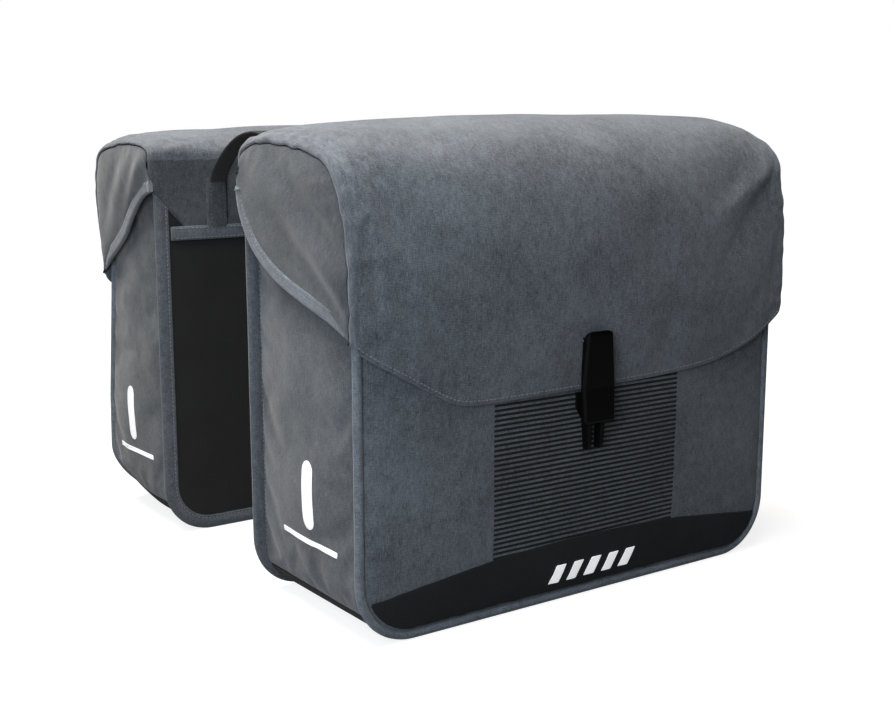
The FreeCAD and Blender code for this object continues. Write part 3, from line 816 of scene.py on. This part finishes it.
def front_grid(seed):
    half, bottom, radius = FRONT_HALF, FRONT_BOTTOM, FRONT_RADIUS
    turn = np.linspace(0, math.pi / 2, 12)
    heights = np.r_[bottom + radius * (1 - np.cos(turn)), np.linspace(bottom + radius, MOUTH_TOP, 66)[1:]]
    edge_share = np.sin(np.linspace(-1, 1, 101) * math.pi / 2 * 0.93) / math.sin(math.pi / 2 * 0.93)
    rows = []
    for z in heights:
        over = max(bottom + radius - z, 0)
        reach = half - radius + math.sqrt(max(radius ** 2 - over ** 2, 0))
        x = edge_share * reach
        rows.append(np.column_stack([x, front_depth(x, np.full_like(x, z)), np.full_like(x, z)]))
    grid = np.stack(rows)
    soft = wobble(grid, 70, seed) * 1.0 + wobble(grid, 24, seed + 2) * 0.3
    grid[..., 1] += soft * np.clip((FRONT_FACE + 1.4 - 2.0 - (FRONT_FACE - grid[..., 1])) / 3, 0, 1)
    return grid


def make_front(name, side, seed):
    grid = lifted(leaned(front_grid(seed)), side)
    piece = sheet(f"{name}_front_sheet", grid, side, [front_canvas, lining])
    held = np.zeros(grid.shape[:2], bool)
    held[:2] = held[-1:] = True
    held[:, :2] = held[:, -2:] = True
    settle(piece, held, 0.002, 0.5, 1.2)
    face = surface(piece)
    thicken(piece, 2.4, 1, lining=True)
    attach(piece, f"{name}_bag", "canvas", f"{name}_front_panel")
    make_band(name, side, face)
    make_stripes(name, side, face)
    make_band_bars(name, side, face)


def band_top(x):
    return 48.0 - 16.0 * (np.abs(x) / 185.0) ** 2


def make_band(name, side, face):
    """The black reinforcement on the front's foot."""
    half, bottom, radius = PIPING_HALF - PIPING_RADIUS + 0.3, 7.0, 37.3
    span = np.linspace(0, half, 2000)
    reach = span[np.argmax(tub_low(span, half, bottom, radius) > band_top(span) - 2.5)]
    x = np.sin(np.linspace(-1, 1, 121) * math.pi / 2 * 0.96) / math.sin(math.pi / 2 * 0.96) * reach
    share = np.linspace(0, 1, 22)[:, None]
    low, high = tub_low(x, half, bottom, radius), band_top(x)
    z = low + (high - low) * share
    grid = np.stack([np.broadcast_to(x, z.shape), np.full_like(z, FRONT_FACE + 3), z], -1)
    laid = lay_on(place(grid, side), face, 0.75)
    faces = grid_faces(z.shape[0], z.shape[1], side > 0)
    piece = build(f"{name}_lower_band_sheet", laid, faces, band_fabric, arc_uv(grid))
    thicken(piece, 0.9, 1)
    attach(piece, f"{name}_bag", "black_fabric", f"{name}_lower_band")


def make_stripes(name, side, face):
    """The printed field of fine dark stripes on the front."""
    half, pitch, height, count = 86.0, 3.56, 2.0, 46
    x = np.linspace(-half, half, 45)
    points, faces = [], []
    for k in range(count):
        z = 45.5 + pitch * k
        offsets = [(-height / 2, -0.2), (-height / 2 + 0.25, 0.26), (0, 0.34), (height / 2 - 0.25, 0.26),
                   (height / 2, -0.2)]
        line = np.stack([x, np.full_like(x, FRONT_FACE + 2), np.full_like(x, z)], -1)
        base = lay_on(place(line, side), face, 0.0)
        base_index = len(points)
        strip = [base + np.array([0, side * out, up]) * MM for up, out in offsets]
        points.extend(np.concatenate(strip))
        faces += (grid_faces(len(offsets), len(x), side > 0) + base_index).tolist()
        for column in (0, len(x) - 1):
            faces.append([base_index + row * len(x) + column for row in range(len(offsets))])
    piece = build(f"{name}_stripe_print", points, faces, print_ink, np.array(points)[:, [0, 2]])
    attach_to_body(piece, f"{name}_bag")


def patch(name, corners, side, nearest, lift, material, spread):
    """A thin film over a polygon of millimetre corners, laid on a surface."""
    corners = np.asarray(corners, float)
    centre = corners.mean(0)
    rings = [centre + (corners - centre) * s for s in (0.02, 0.35, 0.7, 0.94, 1.0)]
    grid = np.stack([resample(np.vstack([r, r[:1]]), spread + 1)[:-1] for r in rings])
    laid = lay_on(place(grid, side), nearest, lift)
    faces = grid_faces(len(rings), spread, False, wrap=True).tolist()
    faces.append(list(range(spread)))
    piece = build(name, laid, faces, material)
    fix_normals(piece)
    _, normal = nearest(laid[0, 0])
    if piece.data.polygons[0].normal.dot(normal) < 0:
        piece.data.flip_normals()
    return thicken(piece, 0.35, 0)


def make_band_bars(name, side, face):
    """Slanted reflective bars on the lower band."""
    bars = []
    for k in range(5):
        x = -34 + 17 * k
        corners = [(x, 15), (x + 9, 15), (x + 15, 29), (x + 6, 29)]
        corners = [(u, FRONT_FACE + 2, z) for u, z in corners]
        bars.append(patch(f"{name}_band_bar_{k}", corners, side, face, 1.15, reflective, 40))
    joined = join(bars, f"{name}_band_bars")
    attach(joined, f"{name}_bag", "reflective_film", f"{name}_band_reflectors")


def join(pieces, name):
    """One object from several."""
    first = pieces[0]
    with bpy.context.temp_override(active_object=first, selected_editable_objects=pieces, object=first):
        bpy.ops.object.join()
    pieces[0].name = name
    return pieces[0]


def make_side_films(name, side, shapes):
    """A reflective strip and a thin bar on each end panel."""
    films = []
    for word, end in (("fore_side", 1), ("aft_side", -1)):
        turn = np.linspace(0, math.pi, 9)
        strip = [(84 + 7 * math.cos(a), 112 + 7 * math.sin(a)) for a in turn]
        strip += [(84 - 7 * math.cos(a), 77 - 7 * math.sin(a)) for a in turn]
        bar = [(42, 58.5), (120, 58.5), (120, 62.5), (42, 62.5)]
        for k, outline in enumerate((strip, bar)):
            corners = [(end * 191, d, z) for d, z in outline]
            films.append(patch(f"{name}_{word}_film_{k}", corners, side, shapes[word], 0.3, reflective, 72))
    joined = join(films, f"{name}_side_films")
    attach(joined, f"{name}_bag", "reflective_film", f"{name}_side_reflectors")


def make_back(name, side, seed):
    """The flat black panel against the rack."""
    half, bottom = BINDING_HALF - 4, 4
    heights = np.linspace(bottom, MOUTH_TOP, 50)
    rows = []
    for z in heights:
        over = max(bottom + 38 - z, 0)
        reach = half - 38 + math.sqrt(max(38 ** 2 - over ** 2, 0))
        x = np.linspace(-reach, reach, 60)
        rows.append(np.column_stack([x, np.full_like(x, 1.0), np.full_like(x, z)]))
    grid = np.stack(rows)
    grid[..., 1] += wobble(grid, 55, seed) * 0.5
    piece = sheet(f"{name}_back_sheet", grid, side, [black_fabric, lining], flip=True)
    thicken(piece, 1.3, 1, lining=True)
    attach(piece, f"{name}_bag", "black_fabric", f"{name}_back_panel")


def make_back_binding(name, side, seed):
    """The folded tape on the seam that stands out round the back, with its stitches."""
    path = tub_path(BINDING_HALF, 0, BINDING_RADIUS, MOUTH_TOP - 2, 220)
    full = np.column_stack([path[:, 0], np.full(len(path), 2.5), path[:, 1]])
    full[:, 1] += wobble(full, 40, seed) * 0.35
    line = place(full, side)
    guide = np.array([0.0, float(side), 0.0])
    tape_profile = [(0, 0), (0.5, 1.5), (2.0, 2.35), (6.0, 2.5), (8.6, 2.15), (9.4, 1.75), (10.3, 2.15),
                    (11.6, 2.1), (12.0, 1.3)]
    back = [(a, -b) for a, b in reversed(tape_profile[1:])]
    profile = [(a * side, b) for a, b in tape_profile + back]
    piece = sweep(f"{name}_back_binding_tape", line, guide, profile, tape)
    attach(piece, f"{name}_bag", "binding_tape", f"{name}_back_binding")
    _, across, _ = along_axes(line, guide)
    for word, off in (("front", 1.75), ("rear", -1.75)):
        row = line + across * side * 9.4 * MM + guide * off * MM
        made = stitches(f"{name}_binding_stitches_{word}", row, guide * np.sign(off), pale_thread)
        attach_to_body(made, f"{name}_bag")


def make_piping(name, side):
    path = tub_path(PIPING_HALF, PIPING_RADIUS, PIPING_CORNER, MOUTH_TOP - 2, 240)
    full = lifted(leaned(np.column_stack([path[:, 0], np.full(len(path), PIPING_DEPTH), path[:, 1]])), side)
    line = place(full, side)
    turn = np.arange(14) * 2 * math.pi / 14
    radius = PIPING_RADIUS - 0.2
    profile = [(radius * math.cos(a), radius * math.sin(a)) for a in turn]
    guide = np.array([0.0, float(side), 0.0])
    piece = sweep(f"{name}_piping_cord", line, guide, profile, edge_tape)
    attach(piece, f"{name}_bag", "binding_tape", f"{name}_front_piping")


def make_hem_tape(name, side, seed):
    """The tape over the foot of the lid's flap, with two rows of stitches."""
    x = np.linspace(-TAPE_HIGH[0], TAPE_HIGH[0], 90)
    share = np.linspace(0, 1, 7)[:, None]
    waves = wobble(np.stack([x, x * 0, x * 0], -1), 33, seed) * 0.8
    z = TAPE_LOW[2] + (TAPE_HIGH[2] - TAPE_LOW[2]) * share + waves
    depth = -3.4 + 0.9 * np.abs(2 * share - 1) ** 3 + 0 * z
    grid = np.stack([np.broadcast_to(x, z.shape), depth, z], -1)
    piece = sheet(f"{name}_hem_tape_sheet", grid, side, tape, flip=True)
    top = surface(piece)
    thicken(piece, 0.9, 1)
    attach(piece, f"{name}_bag", "binding_tape", f"{name}_hem_tape")
    guide = np.array([0.0, -float(side), 0.0])
    for k in (1, 5):
        row = lay_on(place(grid[k, 1:-1], side), top, 0.1)
        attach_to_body(stitches(f"{name}_hem_tape_stitches_{k}", row, guide, pale_thread), f"{name}_bag")


# Straps


def arch_height(y):
    """The height of the straps' middle line over the rack."""
    return 340 - 38 * (y / 79) ** 2


def make_straps(name, side):
    """One bag's half of each bridge strap, with the covered strip that it is sewn into."""
    arch = [(-y, arch_height(y)) for y in (70, 60, 48, 36, 24, 12, 0)]
    controls = [(-78.0, 268), (-78.0, 290), (-77.6, 300)] + arch
    middle = rounded(controls, 60)
    for k, x in enumerate((-142.0, 142.0)):
        word = "aft" if x < 0 else "fore"
        path = np.column_stack([np.full(len(middle), x), -middle[:, 0] * side, middle[:, 1]]) * MM
        half = 7.5
        u = np.linspace(-half, half, 9)
        edge = 1.0 - 0.35 * (np.abs(u) / half) ** 6
        profile = [(a, b) for a, b in zip(u, edge)] + [(a, -b) for a, b in zip(u[::-1], edge[::-1])]
        piece = sweep(f"{name}_{word}_strap", path, np.array([0.0, float(side), 0.6]), profile, webbing)
        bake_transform(piece)
        if k == 0:
            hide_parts(f"{name}_strap_ends")
            if side < 0:
                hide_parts("bridge_straps")
        make_strap_cover(name, side, word, x)


def make_strap_cover(name, side, word, x):
    """The strip of canvas over a strap's sewn end, in the darker flap canvas, which is painted shade."""
    u = np.linspace(-9.2, 9.2, 17)
    z = np.linspace(TAPE_HIGH[2] - 2, 302, 16)[:, None]
    bulge = 3.0 * (1 - (np.abs(u) / 9.2) ** 10) * np.ones_like(z)
    bulge *= 1 - 0.2 * np.exp(-((np.abs(u) - 5.6) / 0.9) ** 2)
    grid = np.stack([x + u + 0 * z, -1.1 - bulge, z + 0 * u], -1)
    piece = sheet(f"{name}_{word}_strap_cover", grid, side, flap_canvas_painted_shade, flip=True)
    top = surface(piece)
    thicken(piece, 0.8, 1)
    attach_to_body(piece, f"{name}_bag")
    guide = np.array([0.0, -float(side), 0.0])
    for column in (3, 13):
        row = lay_on(place(resample(grid[1:-1, column], 40), side), top, 0.05)
        made = stitches(f"{name}_{word}_strap_stitches_{column}", row, guide, dark_thread, pitch=3.0,
                        length=2.2)
        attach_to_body(made, f"{name}_bag")


# Inside


def make_lid_padding(name, side, lid_shape):
    """The quilted lining under the lid's top."""
    inner = (lid_shape[..., 1] > 8) & (lid_shape[..., 1] < 140) & (lid_shape[..., 2] > FOLD + 2)
    rows = np.flatnonzero(inner[:, 59])
    cols = np.flatnonzero(np.abs(lid_shape[60, :, 0]) < 184)
    part = lid_shape[rows[0]:rows[-1] + 1:2, cols[0]:cols[-1] + 1:2].copy()
    part[..., 2] -= 3.2
    ripple = np.abs(np.sin(part[..., 0] / 30 * math.pi)) ** 0.4
    grid = part.copy()
    grid[..., 2] -= 2.2 * ripple
    piece = sheet(f"{name}_lid_padding", grid, side, lining)
    thicken(piece, -1.0, 1)
    attach(piece, f"{name}_lid", "padding", f"{name}_lid_foam")


def make_mouth_hem(name, side):
    """The tape that binds the mouth's edge, inside the lid."""
    corners = [(-178, 4.5), (178, 4.5), (184.0, 8), (188.6, 138), (184.5, 143.2), (-184.5, 143.2),
               (-188.6, 138), (-184.0, 8), (-178, 4.5)]
    path = resample(rounded(corners, 200, 2), 200)
    line = place(leaned(np.column_stack([path, np.full(len(path), 290.5)])), side)
    guide = np.array([0.0, 0.0, 1.0])
    profile = [(-0.7, -9), (0.5, -9), (0.7, -4), (0.7, 4), (0.7, 9), (0, 9.9), (-0.7, 9), (-0.7, 4),
               (-0.7, -4)]
    piece = sweep(f"{name}_mouth_tape", line, guide, profile, tape)
    attach(piece, f"{name}_bag", "binding_tape", f"{name}_mouth_hem")


def dress_cad():
    """Materials for the CAD nodes that stay in view."""
    finishes = {"buckle_lever": plastic, "buckle_base": plastic, "catch": plastic, "buckle_pin": steel,
                "buckle_rivets": steel, "catch_rivets": steel, "back_board": board_plastic,
                "bottom_board": board_plastic}
    for name, _ in SIDES:
        for node, material in finishes.items():
            mesh = nodes[f"{name}_{node}"].data
            mesh.materials.clear()
            mesh.materials.append(material)


# Stage

SKY_FROM = (-0.5, 0.1, 0.85)
SKY_LOW = 0.0
SKY_HIGH = 0.085
# Each light's name, place, target, size, power and color.
LIGHTS = (
    ("rear_top_light", (-0.35, 0.4, 1.3), (0, 0.1, 0.25), 0.7, 17, (1.08, 1.0, 0.92)),
    ("top_light", (-0.35, -0.22, 1.25), (0, -0.1, 0.25), 0.8, 17, (1.05, 1.0, 0.95)),
    ("front_light", (-0.85, -0.75, 0.55), (-0.1, -0.2, 0.2), 0.5, 6.5, (0.90, 1.0, 1.12)),
)


def area_light(name, location, target, size, power, color):
    data = bpy.data.lights.new(name, "AREA")
    data.shape = "SQUARE"
    data.size = size
    data.energy = power
    data.color = color
    lamp = bpy.data.objects.new(name, data)
    lamp.location = location
    lamp.rotation_euler = (Vector(target) - Vector(location)).to_track_quat("-Z", "Y").to_euler()
    scene.collection.objects.link(lamp)


def make_stage():
    reach = 6.0
    floor = build("floor", [(-reach, -reach, 0), (reach, -reach, 0), (reach, reach, 0), (-reach, reach, 0)],
                  [(0, 1, 2, 3)], None, smooth=False)
    g = Graph("pale_floor", Roughness=0.95, Specular_IOR_Level=0.0)
    cloud = g.noise(g.place("Object"), (3.0,) * 3, 2.0)
    dull = g.finish(g.ramp(cloud, 0.0, 1.0, tone(0.30), tone(0.32)), cloud, 0.0001, 0.05)
    seen = g.add("LightPath", {}, output="Is Camera Ray")
    away = g.add("VectorMath", {0: g.place("Object")}, output="Value", operation="LENGTH")
    fade = {"Value": away, "From Min": 0.35, "From Max": 1.1, "To Min": 0.84, "To Max": 1.05}
    glow = g.add("MapRange", fade)
    g.set(g.shader.inputs["Emission Color"], tone(1.0))
    g.set(g.shader.inputs["Emission Strength"], g.math("MULTIPLY", seen, glow))
    floor.data.materials.clear()
    floor.data.materials.append(dull)
    world = bpy.data.worlds.new("studio")
    world.use_nodes = True
    tree = world.node_tree
    background = tree.nodes["Background"]
    where = tree.nodes.new("ShaderNodeTexCoord")
    facing = tree.nodes.new("ShaderNodeVectorMath")
    facing.operation = "DOT_PRODUCT"
    facing.inputs[1].default_value = Vector(SKY_FROM).normalized()
    sky = tree.nodes.new("ShaderNodeMapRange")
    sky.inputs["From Min"].default_value = -0.1
    sky.inputs["To Min"].default_value = SKY_LOW
    sky.inputs["To Max"].default_value = SKY_HIGH
    path = tree.nodes.new("ShaderNodeLightPath")
    strength = tree.nodes.new("ShaderNodeMix")
    strength.inputs["B"].default_value = 1.0
    tree.links.new(where.outputs["Generated"], facing.inputs[0])
    tree.links.new(facing.outputs["Value"], sky.inputs["Value"])
    tree.links.new(sky.outputs["Result"], strength.inputs["A"])
    tree.links.new(path.outputs["Is Camera Ray"], strength.inputs["Factor"])
    tree.links.new(strength.outputs["Result"], background.inputs["Strength"])
    background.inputs["Color"].default_value = (1, 1, 1, 1)
    scene.world = world
    for lamp in LIGHTS:
        area_light(*lamp)


def make_camera():
    data = bpy.data.cameras.new("camera")
    data.lens = 52.72
    data.sensor_width = 36
    data.sensor_fit = "HORIZONTAL"
    camera = bpy.data.objects.new("camera", data)
    camera.location = (-0.6208, -0.9325, 0.3506)
    camera.rotation_euler = (math.radians(90 - 10.454), 0, math.radians(-35.21))
    scene.collection.objects.link(camera)
    scene.camera = camera
    scene.view_settings.view_transform = "Standard"


for side_name, side_sign in SIDES:
    seed_base = 11 if side_sign < 0 else 29
    lid_surface = make_lid(side_name, side_sign, seed_base)
    make_wing(side_name, side_sign, 1, lid_surface, seed_base + 1)
    make_wing(side_name, side_sign, -1, lid_surface, seed_base + 2)
    panels = make_gusset(side_name, side_sign, seed_base + 3)
    make_side_films(side_name, side_sign, panels)
    make_front(side_name, side_sign, seed_base + 4)
    make_back(side_name, side_sign, seed_base + 5)
    make_back_binding(side_name, side_sign, seed_base + 6)
    make_piping(side_name, side_sign)
    make_hem_tape(side_name, side_sign, seed_base + 8)
    make_straps(side_name, side_sign)
    make_lid_padding(side_name, side_sign, lid_surface)
    make_mouth_hem(side_name, side_sign)
dress_cad()
make_stage()
make_camera()
